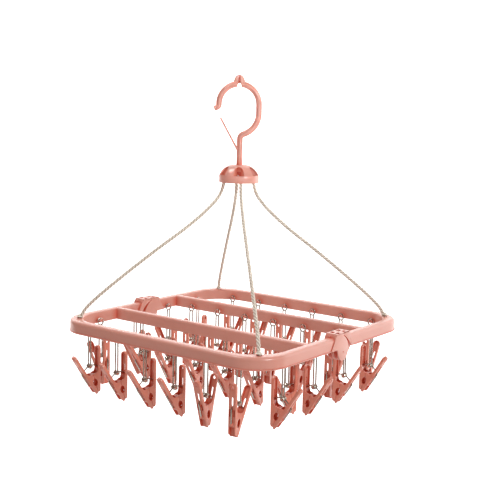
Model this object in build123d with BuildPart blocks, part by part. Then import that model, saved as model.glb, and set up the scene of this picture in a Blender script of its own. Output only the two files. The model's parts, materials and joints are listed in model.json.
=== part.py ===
from build123d import *
import math
import os

os.makedirs("parts", exist_ok=True)

# Clip drying hanger: a folding square frame under a swivel hook, hung on four
# ropes, with 32 sprung clips on wires. Millimetres, +Z up. The origin is the
# inside top of the hook, where it sits on a clothes line or pole. The frame's
# long rails run along X, the fold axis is parallel to X, and the frame's
# centre is under the origin.

# ---------------------------------------------------------------- driving sizes
# Frame
frame_length = 420.0        # over the outer faces, along X
frame_width = 420.0         # over the outer faces, along Y, when open
frame_drop = 381.0          # hook seat to the frame's top
rail_width = 15.3
rail_height = 19.0
rail_wall = 2.0
top_wall = 2.4
rail_shoulder = 5.0         # rounding of the top outer edge
rail_inner_chamfer = 2.5
outer_corner_radius = 57.0
inner_corner_radius = 56.0
lip_width = 1.0             # thin lip round the foot of the outer wall
lip_height = 1.3
bar_width = 12.6            # the two bars beside the fold
bar_offset = 78.1           # centre of each bar from the fold axis
rope_hole_inset = 27.5      # rope hole from the two outer faces
rope_hole_radius = 4.4

# Pegs that carry the clips
peg_radius = 1.8
peg_length = 9.0
peg_head_radius = 3.2
peg_head_length = 1.7
peg_root = 0.5              # peg's root inside the wall
peg_height = 5.6            # peg axis above the rail's foot
peg_pitch = 61.0            # along the rails and bars
pegs_per_row = 6
side_peg_outer = 128.4      # side pegs, from the fold axis
side_peg_inner = 44.0

# Fold hinge
hinge_rise = 6.2            # hinge housing above the rail's top
hinge_pivot_drop = 24.0     # pivot below the frame's top
hinge_lobe_radius = 14.0
hinge_proud_inside = 3.7
hinge_proud_outside = 1.5
hinge_front_top = 19.0      # housing's end at its top, from the fold axis
hinge_front_foot = 35.0     # and at its foot
hinge_arc_top = 1.2         # the round joint line between the two halves
hinge_arc_mid = (12.6, 8.2)
hinge_arc_foot = 20.0
hinge_cheek_mid = (11.4, 8.2)  # the knuckle's side of the line, which opens downward
hinge_cheek_foot = 16.4
hinge_line_gap = 1.0        # open line between the round faces
hinge_stop_gap = 0.3        # the tops butt here and stop the frame sagging
hinge_side_gap = 0.4
hinge_wall = 2.0
hinge_front_wall = 3.4      # along Y, at the housing's foot
hinge_slope_wall = 1.2      # along Y, at its top
hinge_window_length = 8.0   # along Y
hinge_pin_radius = 2.0
hinge_pin_clearance = 0.05

# Hook, its gate and the swivel hub
rod_radius = 4.7
rod_flats = 8                # the rod is round; it has few flats to stay light
ring_radius = 32.7          # of the rod's centre line
ring_offset = 2.7           # ring centre beside the stem
ring_upright = 14.5         # straight run below the ring's centre, beside the opening
stem_bend_radius = 8.0
stem_bend_angle = 72.0
hook_turn = 36.5            # hook's plane about Z, from the frame's rails
hook_end_drop = 0.5
hook_end_radius = 6.0
hook_end_angle = 64.0
hook_end_run = 4.5
line_notch_mouth = 6.6
line_notch_top = 1.6
line_notch_depth = 13.5
line_ear_width = 20.0
line_ear_height = 14.6
line_ear_tip = 2.4          # half the width of the ears' flat top
line_ear_thickness = 8.1
line_web_setback = 1.4      # web between the ears, behind the hook's middle
gate_thickness = 1.8
gate_tip_thickness = 1.2
gate_width = 6.0
gate_root_drop = 102.5      # gate's root below the hook seat
gate_reach = (29.5, 52.5)   # gate's tip from its root: sideways, up
gate_bead = 0.6             # the root's bead stands proud of the leaf by this
gate_clearance = 0.3
gate_seat_length = 12.0     # room in the stem for the gate to swing
gate_swing = 20.0           # a little more than its travel
hub_radius = 33.0
hub_flats = 20              # round; few flats keep it light
hub_skirt = 12.0
hub_skirt_step = 0.6        # the dome starts this far inside the skirt
hub_height = 28.6
hub_top_radius = 14.0
hub_shoulder = (0.66, 0.58)  # where the dome's slope changes: shares of its run and rise
hub_wall = 2.2
hub_drop = 155.0            # hub's foot below the hook seat
hub_floor = 2.5
hub_floor_lift = 1.5
hub_boss_radius = 8.0
hub_boss_length = 11.0
hub_window_count = 6
hub_window_width = 17.0
hub_window_height = 13.6
hub_window_foot = 12.2      # above the hub's foot
hub_window_turn = 36.5
hub_rope_offset = 17.0      # rope holes from the axis along X and along Y
swivel_clearance = 0.05
stem_collar_radius = 7.6
stem_collar_height = 3.0
collar_gap = 0.3

# Ropes
rope_radius = 2.5
rope_hole_clearance = 0.3
knot_radius = 5.0
knot_height = 5.5
knot_taper = 10.0
knot_seat = 0.3             # knot and flare to the plate they bear on
flare_radius = 5.6          # rope's flared foot on the corner
flare_height = 4.0
flare_taper = 35.0
knot_clearance = 0.3
# Hand-chosen route: distance from the swivel axis, height above the frame's top
rope_route = [
    (24.04, 234.0), (25.0, 212.0), (45.0, 185.5), (83.5, 151.0), (126.0, 119.5),
    (172.0, 83.0), (212.5, 49.5), (240.0, 25.0), (254.6, 8.0), (258.09, -5.5),
]

# Clips
clip_width = 12.4
leg_length = 78.0
leg_plate = 2.2
leg_flange = 1.8            # thickness of the two side walls
leg_flange_depth = 5.6      # side wall's depth beside the paddle
leg_spread = 16.0           # each leg from the parting line
tip_half = 4.5
tip_chamfer = 8.0
jaw_length = 48.0           # spring coil to the tips
jaw_gap = 0.15              # each jaw to the parting line
mouth_top = 12.0            # where the jaws start to meet, below the coil
hollow_top = 21.5           # the oval hole between the jaws
hollow_foot = 34.5
hollow_depth = 3.9
slot_width = 3.4
slot_top = 29.0             # slot for the spring's arm, from the paddle's end
slot_foot = 47.0
coil_drop = 75.0            # spring coil below the frame's top

# Spring wire of a clip
wire_radius = 0.85
eye_radius = 5.5            # of the wire's centre line
eye_clearance = 0.2         # eye over its peg
eye_head_gap = 1.4          # eye's centre from the peg's head
coil_radius = 3.1
wire_spread = 3.0           # each of the two wires from the clip's centre
arm_foot = 16.0             # arm's end above the tip, along the leg
arm_gap = 0.45              # arm over the back of the jaw

# ------------------------------------------------------------- derived places
frame_top = -frame_drop
rail_foot = frame_top - rail_height
half_length = frame_length / 2
half_width = frame_width / 2
rail_inner_x = half_length - rail_width
rail_inner_y = half_width - rail_width
pivot_z = frame_top - hinge_pivot_drop
peg_z = rail_foot + peg_height
ring_on_peg = peg_length - peg_head_length - eye_head_gap
eye_z = peg_z + peg_radius + eye_clearance - (eye_radius - wire_radius)
coil_z = frame_top - coil_drop
hub_foot = -hub_drop
hub_top = hub_foot + hub_height
hook_axis = math.radians(hook_turn)
hook_right = Vector(math.cos(hook_axis), math.sin(hook_axis), 0)
hook_plane = Plane(origin=(0, 0, 0), x_dir=hook_right, z_dir=hook_right.cross(Vector(0, 0, 1)))
spread = math.radians(leg_spread)
written = []


def save(part, label):
    part.label = label
    export_step(part, "parts/" + label + ".step")
    written.append(label)
    print(label, "volume", round(part.volume, 1))


# ------------------------------------------------------------------------ hook
# The rod: stem, a tight bend, the long sweep up into the ring, the ring itself
# and the free end, which curls outward.
ring_height = -(ring_radius - rod_radius) - 0.1
ring_right = (ring_radius - ring_offset, ring_height)
ring_left = (-ring_radius - ring_offset, ring_height)
bend = math.radians(stem_bend_angle)
sweep_radius = (ring_right[0] - stem_bend_radius * (1 - math.cos(bend))) / (1 - math.cos(bend))
sweep_rise = (stem_bend_radius + sweep_radius) * math.sin(bend)
sweep_top = ring_height - ring_upright
stem_bend_z = sweep_top - sweep_rise
stem_foot = hub_top - hub_boss_length - collar_gap

with BuildPart() as hook:
    with BuildLine(hook_plane) as rod_path:
        stem = Line((0, stem_foot), (0, stem_bend_z))
        first = JernArc(stem @ 1, stem % 1, stem_bend_radius, -stem_bend_angle)
        second = JernArc(first @ 1, first % 1, sweep_radius, stem_bend_angle)
        upright = Line(second @ 1, ring_right)
        ring = JernArc(upright @ 1, (0, 1), ring_radius, 180)
        drop = Line(ring @ 1, (ring_left[0], ring_left[1] - hook_end_drop))
        curl = JernArc(drop @ 1, (0, -1), hook_end_radius, -hook_end_angle)
        Line(curl @ 1, curl @ 1 + (curl % 1) * hook_end_run)
    with BuildSketch(Plane(origin=(0, 0, stem_foot), x_dir=hook_right, z_dir=(0, 0, 1))):
        RegularPolygon(rod_radius, rod_flats)
    sweep()
    # round journal that turns in the hub
    with BuildSketch(Plane.XY.offset(stem_foot)):
        Circle(rod_radius)
    extrude(amount=hub_boss_length + 2)
    # two ears over the line notch
    ear_foot = ring_height + ring_radius
    ear_centre = -ring_offset
    with BuildSketch(hook_plane):
        with BuildLine():
            left = (ear_centre - line_ear_width / 2, ear_foot)
            right = (ear_centre + line_ear_width / 2, ear_foot)
            top = ear_foot + line_ear_height
            Spline(left, (ear_centre - line_ear_tip, top), tangents=((1, 0.25), (1, 0.3)))
            Line((ear_centre - line_ear_tip, top), (ear_centre + line_ear_tip, top))
            Spline((ear_centre + line_ear_tip, top), right, tangents=((1, -0.3), (1, -0.25)))
            Line(right, left)
        make_face()
    extrude(amount=line_ear_thickness / 2, both=True)
    # the notch narrows upward; a web behind it keeps the two ears together
    with BuildSketch(hook_plane.offset(-line_web_setback)):
        notch_foot = -1.5
        Polygon(
            (ear_centre - line_notch_mouth / 2, notch_foot),
            (ear_centre + line_notch_mouth / 2, notch_foot),
            (ear_centre + line_notch_top / 2, ear_foot + line_ear_height + 2),
            (ear_centre - line_notch_top / 2, ear_foot + line_ear_height + 2),
            align=None,
        )
    extrude(amount=rod_radius * 2, mode=Mode.SUBTRACT)
    with BuildSketch(hook_plane.offset(-line_web_setback)):
        Polygon(
            (ear_centre - line_notch_mouth / 2, notch_foot),
            (ear_centre + line_notch_mouth / 2, notch_foot),
            (ear_centre + line_notch_top / 2, notch_foot + line_notch_depth),
            (ear_centre - line_notch_top / 2, notch_foot + line_notch_depth),
            align=None,
        )
    extrude(amount=-rod_radius * 2, mode=Mode.SUBTRACT)
    # collar that the hub hangs on
    with BuildSketch(Plane.XY.offset(stem_foot - stem_collar_height)):
        Circle(stem_collar_radius)
    extrude(amount=stem_collar_height)
    # seat of the gate in the stem
    gate_root = (-rod_radius + 1.6, -gate_root_drop)
    gate_lean = math.atan2(gate_reach[0], gate_reach[1])
    seat_side = gate_thickness / 2 + gate_clearance
    seat_mouth = seat_side + gate_seat_length * math.tan(math.radians(gate_swing))
    with BuildSketch(hook_plane):
        with Locations(gate_root):
            Circle(gate_thickness / 2 + gate_bead + gate_clearance)
        with Locations(Location((gate_root[0], gate_root[1], 0), (0, 0, math.degrees(gate_lean)))):
            Polygon(
                (-gate_thickness - 1.6, 0),
                (seat_side, 0),
                (seat_mouth, gate_seat_length),
                (-gate_thickness - 1.6, gate_seat_length),
                align=None,
            )
    extrude(amount=gate_width / 2 + gate_clearance, both=True, mode=Mode.SUBTRACT)
save(hook.part, "hook")

# ------------------------------------------------------------------------ gate
with BuildPart() as hook_gate:
    gate_run = math.hypot(*gate_reach)
    with BuildSketch(hook_plane):
        with Locations(gate_root):
            Circle(gate_thickness / 2 + gate_bead)
        with Locations(Location((gate_root[0], gate_root[1], 0), (0, 0, math.degrees(gate_lean)))):
            Polygon(
                (-gate_thickness / 2, 0),
                (gate_thickness / 2, 0),
                (gate_tip_thickness / 2, gate_run),
                (-gate_tip_thickness / 2, gate_run),
                align=None,
            )
    extrude(amount=gate_width / 2, both=True)
save(hook_gate.part, "hook_gate")

# ------------------------------------------------------------------------- hub
rope_hole = rope_radius + rope_hole_clearance

def dome(radius, foot, rise):
    """A low dome of two tapered bands, from a radius to the flat top."""
    lower = hub_shoulder[1] * rise
    upper = rise - lower
    shoulder = hub_top_radius + hub_shoulder[0] * (radius - hub_top_radius)
    with BuildPart() as cap:
        with BuildSketch(Plane.XY.offset(foot)):
            RegularPolygon(radius, hub_flats)
        extrude(amount=lower, taper=math.degrees(math.atan2(radius - shoulder, lower)))
        with BuildSketch(Plane.XY.offset(foot + lower)):
            RegularPolygon(shoulder, hub_flats)
        extrude(amount=upper, taper=math.degrees(math.atan2(shoulder - hub_top_radius, upper)))
    return cap.part


skirt_top = hub_foot + hub_skirt
outer_dome = dome(hub_radius - hub_skirt_step, skirt_top, hub_top - skirt_top)
inner_dome = dome(hub_radius - hub_skirt_step - hub_wall, skirt_top, hub_top - skirt_top - hub_wall)
with BuildPart() as hub:
    # skirt and dome, hollow
    with BuildSketch(Plane.XY.offset(hub_foot)):
        RegularPolygon(hub_radius, hub_flats)
    extrude(amount=hub_skirt)
    add(outer_dome)
    with BuildSketch(Plane.XY.offset(hub_foot)):
        RegularPolygon(hub_radius - hub_wall, hub_flats)
    extrude(amount=hub_skirt, mode=Mode.SUBTRACT)
    add(inner_dome, mode=Mode.SUBTRACT)
    # boss round the stem, and the floor with the rope holes
    with BuildSketch(Plane.XY.offset(hub_top - hub_boss_length)):
        RegularPolygon(hub_boss_radius, 12)
    extrude(amount=hub_boss_length - 0.5)
    with BuildSketch(Plane.XY.offset(hub_foot + hub_floor_lift)):
        RegularPolygon(hub_radius - hub_wall / 2, hub_flats)
    extrude(amount=hub_floor)
    # arched windows round the dome
    for index in range(hub_window_count):
        turn = math.radians(hub_window_turn - 90 + index * 360 / hub_window_count)
        outward = Vector(math.cos(turn), math.sin(turn), 0)
        inside = outward * (hub_boss_radius + 1.6)
        window_plane = Plane(
            origin=(inside.X, inside.Y, hub_foot + hub_window_foot),
            x_dir=Vector(0, 0, 1).cross(outward), z_dir=outward,
        )
        with BuildSketch(window_plane):
            Polygon(
                (-hub_window_width / 2, 0), (hub_window_width / 2, 0),
                (hub_window_width / 2 - 1.2, hub_window_height * 0.55),
                (hub_window_width * 0.2, hub_window_height), (-hub_window_width * 0.2, hub_window_height),
                (-hub_window_width / 2 + 1.2, hub_window_height * 0.55), align=None,
            )
        extrude(amount=hub_radius, mode=Mode.SUBTRACT)
    # stem bore and rope holes
    with BuildSketch(Plane.XY.offset(hub_foot)):
        Circle(rod_radius + swivel_clearance)
    extrude(amount=hub_height, mode=Mode.SUBTRACT)
    with BuildSketch(Plane.XY.offset(hub_foot)):
        with GridLocations(2 * hub_rope_offset, 2 * hub_rope_offset, 2, 2):
            Circle(rope_hole)
    extrude(amount=hub_floor_lift + hub_floor + 1, mode=Mode.SUBTRACT)
save(hub.part, "hub")

# ----------------------------------------------------------------------- ropes
# Each rope leaves its knot on the hub's floor, falls through the hole and runs
# to the frame's corner, where a knot under the top plate holds it.
corner_x = half_length - rope_hole_inset
corner_y = half_width - rope_hole_inset


def rope_points(side_x, side_y):
    along = Vector(side_x * corner_x, side_y * corner_y, 0).normalized()
    return [Vector(along.X * reach, along.Y * reach, frame_top + rise) for reach, rise in rope_route]


def bend_radii(points):
    radii = []
    for before, here, after in zip(points, points[1:], points[2:]):
        turn = math.radians((here - before).get_angle(after - here))
        shorter = min((here - before).length, (after - here).length)
        radii.append(0.45 * shorter / math.tan(turn / 2))
    return radii


def rope(side_x, side_y, label):
    points = rope_points(side_x, side_y)
    radii = bend_radii(points)
    with BuildPart() as piece:
        with BuildLine() as path:
            FilletPolyline(*points, radius=radii)
        start = points[0]
        with BuildSketch(Plane(origin=start, z_dir=points[1] - start)):
            RegularPolygon(rope_radius, 6)
        sweep(path=path.wires()[0])
        section = piece.part.volume
        # knot on the hub's floor
        with BuildSketch(Plane.XY.offset(hub_foot + hub_floor_lift + hub_floor + knot_seat)):
            with Locations((start.X, start.Y)):
                RegularPolygon(knot_radius, 6)
        extrude(amount=knot_height, taper=knot_taper)
        # flared foot of the rope on the corner, and the knot under it
        foot = points[-1]
        with BuildSketch(Plane.XY.offset(frame_top + knot_seat)):
            with Locations((foot.X, foot.Y)):
                RegularPolygon(flare_radius, 6)
        extrude(amount=flare_height, taper=flare_taper)
        with BuildSketch(Plane.XY.offset(frame_top - top_wall - knot_seat)):
            with Locations((foot.X, foot.Y)):
                RegularPolygon(knot_radius, 6)
        extrude(amount=-knot_height, taper=knot_taper)
    length = path.wires()[0].length
    area = 1.5 * math.sqrt(3) * rope_radius ** 2
    if side_x > 0 and side_y < 0:
        print("rope radii", [round(radius, 1) for radius in radii])
        print("rope length", round(length, 1), "volume ratio", round(section / (area * length), 3))
    save(piece.part, label)


rope(-1, -1, "rope_front_left")
rope(1, -1, "rope_front_right")
rope(-1, 1, "rope_rear_left")
rope(1, 1, "rope_rear_right")

# -------------------------------------------------------------- frame halves
hinge_inner = rail_inner_x - hinge_proud_inside
hinge_outer = half_length + hinge_proud_outside
hinge_mid = (hinge_inner + hinge_outer) / 2


def peg(plane):
    """A short peg with a wider head; the clip's wire eye hangs on it."""
    with BuildPart() as piece:
        with BuildSketch(plane.offset(-peg_root)):
            RegularPolygon(peg_radius, 6)
        extrude(amount=peg_length - peg_head_length + peg_root)
        with BuildSketch(plane.offset(peg_length - peg_head_length)):
            RegularPolygon(peg_head_radius, 6)
        extrude(amount=peg_head_length)
    return piece.part


def hinge_knuckle(side, low, high):
    """The side of a hinge housing that reaches round the pivot, with its lobe."""
    arc_mid_y, arc_mid_drop = hinge_cheek_mid
    reach = hinge_lobe_radius
    thickness = high - low
    with BuildPart() as block:
        with BuildSketch(Plane.YZ.offset(low)):
            with BuildLine():
                housing = Polyline(
                    (side * hinge_front_foot, rail_foot),
                    (side * hinge_front_top, frame_top + hinge_rise),
                    (side * hinge_stop_gap / 2, frame_top + hinge_rise),
                    (side * hinge_stop_gap / 2, frame_top + hinge_arc_top),
                    (-side * hinge_arc_top, frame_top + hinge_arc_top),
                )
                joint = ThreePointArc(
                    housing @ 1,
                    (-side * arc_mid_y, frame_top - arc_mid_drop),
                    (-side * hinge_cheek_foot, rail_foot),
                )
                Polyline(
                    joint @ 1,
                    (-side * reach * 0.86, pivot_z - reach * 0.52),
                    (side * reach * 0.98, pivot_z - reach * 0.2),
                    (side * (reach + 2), rail_foot),
                    (side * hinge_front_foot, rail_foot),
                )
            make_face()
            with Locations((0, pivot_z)):
                Circle(reach)
        extrude(amount=thickness)
        # hollow, open at the foot, leaving the two cheeks
        with BuildSketch(Plane.YZ.offset(low + hinge_wall)):
            Polygon(
                (side * (hinge_front_foot - hinge_front_wall), rail_foot - 20),
                (side * (hinge_front_foot - hinge_front_wall), rail_foot),
                (side * (hinge_front_top - hinge_slope_wall), frame_top + hinge_rise - hinge_wall),
                (side * 2.2, frame_top + hinge_rise - hinge_wall),
                (side * 2.2, frame_top - 1.0),
                (-side * (arc_mid_y - 4), frame_top - arc_mid_drop - 1.2),
                (-side * (hinge_cheek_foot - 4), rail_foot),
                (-side * hinge_cheek_foot, rail_foot - 20),
                align=None,
            )
        extrude(amount=thickness - 2 * hinge_wall, mode=Mode.SUBTRACT)
        # window in the top
        with BuildSketch(Plane.XY.offset(frame_top + hinge_rise - 2 * hinge_wall)):
            with Locations(((low + high) / 2, side * hinge_front_top * 0.5)):
                Rectangle(thickness - 2 * hinge_wall, hinge_window_length)
        extrude(amount=3 * hinge_wall, mode=Mode.SUBTRACT)
    return block.part


def hinge_shoulder(side, low, high):
    """The other side of a hinge housing, which ends above the round joint line."""
    arc_mid_y, arc_mid_drop = hinge_arc_mid
    shift = hinge_line_gap * 0.8
    thickness = high - low
    with BuildPart() as block:
        with BuildSketch(Plane.YZ.offset(low)):
            with BuildLine():
                housing = Polyline(
                    (side * hinge_front_foot, rail_foot),
                    (side * hinge_front_top, frame_top + hinge_rise),
                    (side * hinge_stop_gap / 2, frame_top + hinge_rise),
                    (side * hinge_stop_gap / 2, frame_top + hinge_arc_top + hinge_line_gap),
                    (side * (hinge_arc_top + shift), frame_top + hinge_arc_top + shift),
                )
                joint = ThreePointArc(
                    housing @ 1,
                    (side * (arc_mid_y + shift), frame_top - arc_mid_drop + shift),
                    (side * (hinge_arc_foot + hinge_line_gap), rail_foot),
                )
                Line(joint @ 1, housing @ 0)
            make_face()
        extrude(amount=thickness)
        with BuildSketch(Plane.YZ.offset(low + hinge_wall)):
            Polygon(
                (side * (hinge_front_foot - hinge_front_wall), rail_foot - 1),
                (side * (hinge_front_top - hinge_slope_wall), frame_top + hinge_rise - hinge_wall),
                (side * 4.2, frame_top + hinge_rise - hinge_wall),
                (side * (arc_mid_y + 4.2), frame_top - arc_mid_drop + 1.4),
                (side * (hinge_arc_foot + 3.8), rail_foot - 1),
                align=None,
            )
        extrude(amount=thickness - 2 * hinge_wall, mode=Mode.SUBTRACT)
        with BuildSketch(Plane.XY.offset(frame_top + hinge_rise - 2 * hinge_wall)):
            with Locations(((low + high) / 2, side * hinge_front_top * 0.5)):
                Rectangle(thickness - 2 * hinge_wall, hinge_window_length)
        extrude(amount=3 * hinge_wall, mode=Mode.SUBTRACT)
    return block.part


def corner_reach(point, half_x, half_y, radius):
    """How far outside a rounded rectangle a point lies."""
    past_x = max(abs(point.X) - (half_x - radius), 0)
    past_y = max(abs(point.Y) - (half_y - radius), 0)
    return math.hypot(past_x, past_y) - radius


def on_outer_face(point):
    return corner_reach(point, half_length, half_width, outer_corner_radius) > -2


def on_inner_face(point, rail_end):
    near = abs(corner_reach(point, rail_inner_x, rail_inner_y, inner_corner_radius)) < 3
    return near and abs(point.Y) > rail_end + 1


def frame_half(side, label):
    """One moulded half of the frame; side is -1 for the front half, 1 for the rear."""
    rail_end = hinge_arc_foot + hinge_line_gap + 1.5
    channel_end = rail_end + 2.5
    lip_start = hinge_front_foot - 1.5
    lap = hinge_side_gap / 2
    if side < 0:
        # the front half's knuckle is the outer one
        housings = [
            hinge_knuckle(side, hinge_mid + lap, hinge_outer),
            hinge_shoulder(side, hinge_inner, hinge_mid + lap),
        ]
    else:
        housings = [
            hinge_knuckle(side, hinge_inner, hinge_mid - lap),
            hinge_shoulder(side, hinge_mid - lap, half_length),
        ]
    pegs = []
    for face_y in (side * rail_inner_y, side * (bar_offset - bar_width / 2)):
        for x in row_x:
            pegs.append(peg(Plane(origin=(x, face_y, peg_z), x_dir=(1, 0, 0), z_dir=(0, -side, 0))))
    for end in (-1, 1):
        for y in (side_peg_inner, side_peg_outer):
            origin = (end * rail_inner_x, side * y, peg_z)
            pegs.append(peg(Plane(origin=origin, x_dir=(0, 1, 0), z_dir=(-end, 0, 0))))
    with BuildPart() as half:
        # rail round three sides
        with BuildSketch(Plane.XY.offset(rail_foot)):
            RectangleRounded(frame_length, frame_width, outer_corner_radius)
            RectangleRounded(2 * rail_inner_x, 2 * rail_inner_y, inner_corner_radius, mode=Mode.SUBTRACT)
            with Locations((0, -side * (half_width - rail_end))):
                Rectangle(frame_length + 10, 2 * half_width, mode=Mode.SUBTRACT)
        extrude(amount=rail_height)
        top_edges = half.edges().filter_by_position(Axis.Z, frame_top - 0.01, frame_top + 0.01)
        rounded = top_edges.filter_by(lambda edge: abs(edge.center().Y) > rail_end + 1)
        fillet(rounded.filter_by(lambda edge: on_outer_face(edge.center())), radius=rail_shoulder)
        half_top = half.edges().filter_by_position(Axis.Z, frame_top - 0.01, frame_top + 0.01)
        inner_top = half_top.filter_by(lambda edge: on_inner_face(edge.center(), rail_end))
        chamfer(inner_top, length=rail_inner_chamfer)
        # lip round the foot of the outer wall
        with BuildSketch(Plane.XY.offset(rail_foot)):
            RectangleRounded(frame_length + 2 * lip_width, frame_width + 2 * lip_width,
                             outer_corner_radius + lip_width)
            RectangleRounded(frame_length - 1, frame_width - 1, outer_corner_radius - 0.5,
                             mode=Mode.SUBTRACT)
            with Locations((0, -side * (half_width - lip_start))):
                Rectangle(frame_length + 10, 2 * half_width, mode=Mode.SUBTRACT)
        extrude(amount=lip_height)
        # bar beside the fold
        with BuildSketch(Plane.YZ.offset(-rail_inner_x - 1)):
            with Locations((side * bar_offset, frame_top - rail_height / 2)):
                bar = Rectangle(bar_width, rail_height)
            fillet(bar.vertices().group_by(Axis.Y)[-1], radius=rail_shoulder * 0.9)
        extrude(amount=2 * rail_inner_x + 2)
        # channel under the rail and the bar
        with BuildSketch(Plane.XY.offset(rail_foot)):
            RectangleRounded(frame_length - 2 * rail_wall, frame_width - 2 * rail_wall,
                             outer_corner_radius - rail_wall)
            RectangleRounded(2 * (rail_inner_x + rail_wall), 2 * (rail_inner_y + rail_wall),
                             inner_corner_radius, mode=Mode.SUBTRACT)
            with Locations((0, -side * (half_width - channel_end))):
                Rectangle(frame_length + 10, 2 * half_width, mode=Mode.SUBTRACT)
        extrude(amount=rail_height - top_wall, mode=Mode.SUBTRACT)
        with BuildSketch(Plane.XY.offset(rail_foot)):
            with Locations((0, side * bar_offset)):
                Rectangle(2 * rail_inner_x - 1, bar_width - 2 * rail_wall)
        extrude(amount=rail_height - top_wall, mode=Mode.SUBTRACT)
        # hinge housings at both ends
        for housing in housings:
            add(housing)
            mirror(housing, about=Plane.YZ)
        # rope holes in the corners
        with BuildSketch(Plane.XY.offset(rail_foot)):
            with Locations((-corner_x, side * corner_y), (corner_x, side * corner_y)):
                Circle(rope_hole_radius)
        extrude(amount=rail_height + 1, mode=Mode.SUBTRACT)
        # room for the knots under the top plate
        with BuildSketch(Plane.XY.offset(rail_foot)):
            with Locations((-corner_x, side * corner_y), (corner_x, side * corner_y)):
                Circle(knot_radius + knot_clearance)
        extrude(amount=rail_height - top_wall, mode=Mode.SUBTRACT)
        # pivot holes
        with BuildSketch(Plane.YZ.offset(-hinge_outer - 1)):
            with Locations((0, pivot_z)):
                Circle(hinge_pin_radius + hinge_pin_clearance)
        extrude(amount=2 * hinge_outer + 2, mode=Mode.SUBTRACT)
        for piece in pegs:
            add(piece)
    save(half.part, label)


row_x = [(index - (pegs_per_row - 1) / 2) * peg_pitch for index in range(pegs_per_row)]
frame_half(-1, "front_frame")
frame_half(1, "rear_frame")

# one pin through each hinge, headless, flush with the outer cheek
with BuildPart() as hinge_pins:
    for end in (-1, 1):
        with BuildSketch(Plane.YZ.offset(end * (hinge_inner + 0.2))):
            with Locations((0, pivot_z)):
                Circle(hinge_pin_radius)
        extrude(amount=end * (hinge_outer - hinge_inner - 0.6))
save(hinge_pins.part, "hinge_pins")


# ----------------------------------------------------------------------- clips
class Clip:
    """Where one clip hangs: its eye on the peg, and the plane its legs lie in.

    Its legs open outward; turn swings it about the vertical, and lean is the
    parting line's angle from the vertical.
    """

    def __init__(self, x, y, outward, turn, lean=leg_spread):
        self.eye = Vector(x, y, eye_z)
        angle = math.radians(turn)
        self.outward = Vector(
            outward[0] * math.cos(angle) - outward[1] * math.sin(angle),
            outward[0] * math.sin(angle) + outward[1] * math.cos(angle), 0,
        )
        up = Vector(0, 0, 1)
        self.across = self.outward.cross(up)
        self.coil = Vector(x, y, coil_z)
        # down the parting line, and square to it towards the upright leg
        slope = math.radians(lean)
        self.down = self.outward * -math.sin(slope) - up * math.cos(slope)
        self.inner = self.outward * -math.cos(slope) + up * math.sin(slope)

    def leg_plane(self, upright):
        inward = self.inner if upright else self.inner * -1
        return Plane(origin=self.coil, x_dir=self.down, z_dir=self.down.cross(inward))


def on_back(distance):
    """A point of the leg's back, by its distance up the leg from the tip."""
    return (jaw_length - distance * math.cos(spread), tip_half + distance * math.sin(spread))


def inside_back(distance, depth):
    along, out = on_back(distance)
    return (along - depth * math.sin(spread), out - depth * math.cos(spread))


def leg(clip, upright):
    """One leg: a plate with two side walls, a rounded paddle and a slot for the wire."""
    plane = clip.leg_plane(upright)
    profile = [
        (jaw_length, jaw_gap),
        (jaw_length, tip_half - 1.2),
        on_back(tip_chamfer),
        on_back(leg_length),
        inside_back(leg_length, leg_plate + 0.6),
        inside_back(leg_length * 0.56, leg_flange_depth),
        (mouth_top, jaw_gap),
        (hollow_top, jaw_gap),
        (hollow_top + hollow_depth * 0.9, hollow_depth),
        (hollow_foot - hollow_depth * 0.9, hollow_depth),
        (hollow_foot, jaw_gap),
    ]
    pocket = [
        inside_back(tip_chamfer + 1, leg_plate),
        inside_back(leg_length * 0.86, leg_plate),
        inside_back(leg_length * 0.84, leg_plate + 14),
        (mouth_top - 6, -1),
        (jaw_length - 7, -1),
    ]
    half_clip = clip_width / 2
    base = on_back(0)
    origin = plane.from_local_coords((base[0], base[1], 0))
    up_leg = plane.from_local_coords((base[0] - math.cos(spread), base[1] + math.sin(spread), 0))
    out_of_leg = plane.from_local_coords((base[0] + math.sin(spread), base[1] + math.cos(spread), 0))
    back = Plane(origin=origin, x_dir=up_leg - origin, z_dir=out_of_leg - origin)
    with BuildPart() as piece:
        with BuildSketch(plane):
            Polygon(*profile, align=None)
        extrude(amount=half_clip, both=True)
        with BuildSketch(plane):
            Polygon(*pocket, align=None)
        extrude(amount=half_clip - leg_flange, both=True, mode=Mode.SUBTRACT)
        # what is outside the rounded paddle end
        with BuildSketch(back.offset(-2 * leg_plate)):
            with Locations((leg_length - half_clip / 2 + 1, 0)):
                Rectangle(half_clip + 2, clip_width + 2)
            with Locations((leg_length - half_clip, 0)):
                RegularPolygon(half_clip, 8, rotation=22.5, major_radius=False, mode=Mode.SUBTRACT)
        extrude(amount=4 * leg_plate, mode=Mode.SUBTRACT)
        # slot for the spring's arm
        with BuildSketch(back.offset(-2 * leg_plate)):
            with Locations((leg_length - (slot_top + slot_foot) / 2, 0)):
                Rectangle(slot_foot - slot_top, slot_width)
        extrude(amount=4 * leg_plate, mode=Mode.SUBTRACT)
    return piece.part


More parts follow.
